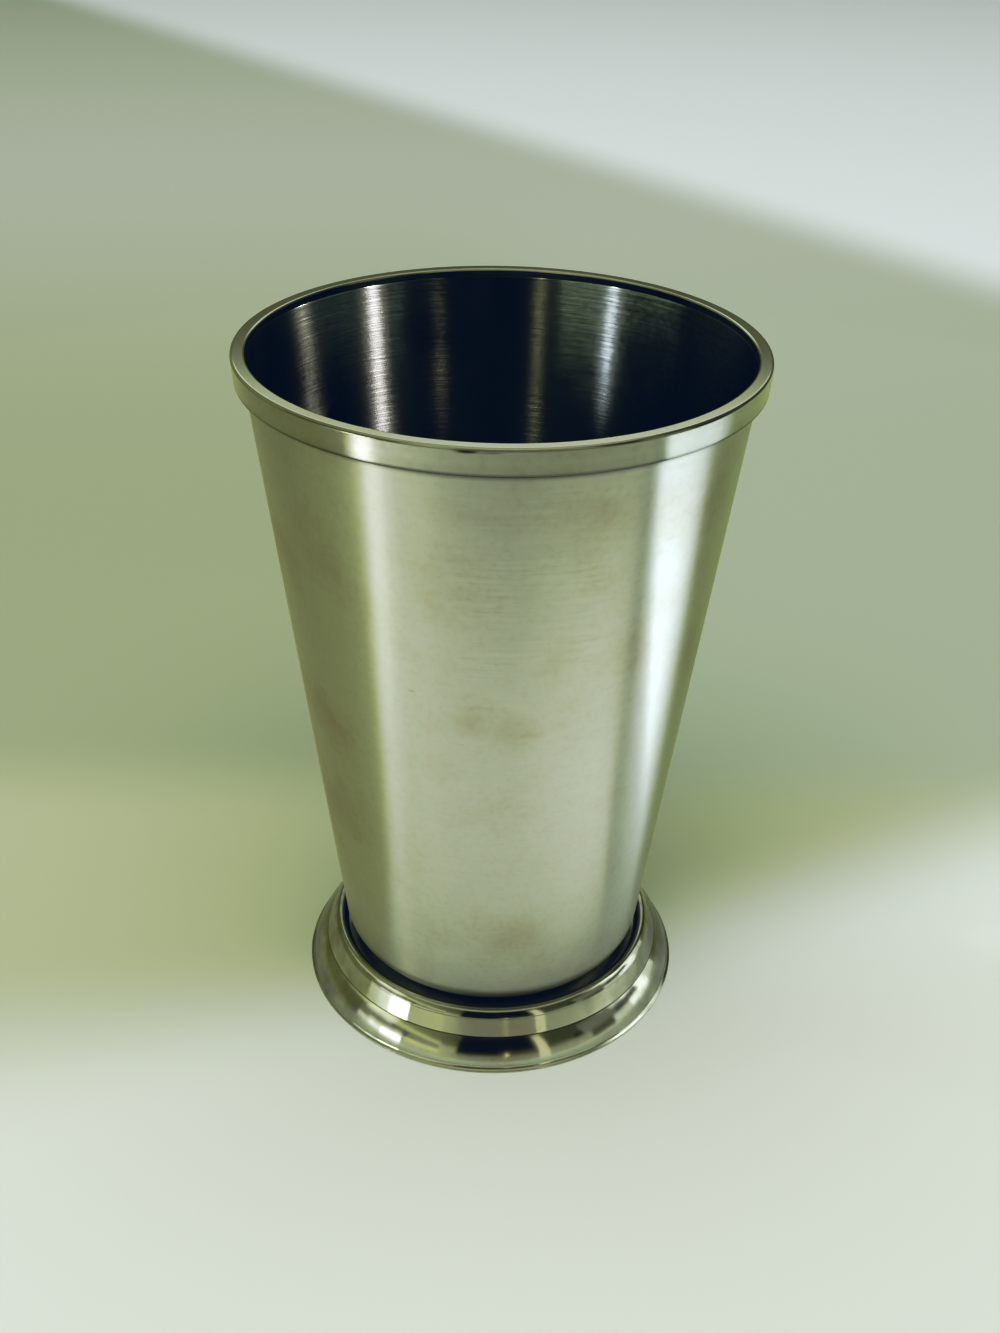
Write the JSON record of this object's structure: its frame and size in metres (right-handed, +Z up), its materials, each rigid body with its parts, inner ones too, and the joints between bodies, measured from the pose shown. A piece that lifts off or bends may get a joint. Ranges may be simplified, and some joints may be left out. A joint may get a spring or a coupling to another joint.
{
  "type": "stainless steel cup",
  "caption": "Tapered round drinking cup of stainless steel sheet with a flat banded rim and a stepped, flared foot ring; it holds a cold drink and stands on its foot.",
  "frame": {"origin": "on the floor, at the middle of the foot", "axes": "+Z up along the cup's axis; X and Y are any two directions across it, because the cup is round"},
  "size_m": [0.0794, 0.0794, 0.115],
  "materials": {
    "satin_steel": "satin, with fine brushing round the axis",
    "rim_steel": "satin, with fine brushing round the axis",
    "polished_steel": "mirror polished stainless steel",
    "braze_filler": "dull nickel braze filler"
  },
  "bodies": {
    "root": {"cup_body": "satin_steel", "rim_band": "rim_steel", "rim_braze": "braze_filler", "foot_ring": "polished_steel", "foot_braze": "braze_filler"}
  },
  "joints": []
}
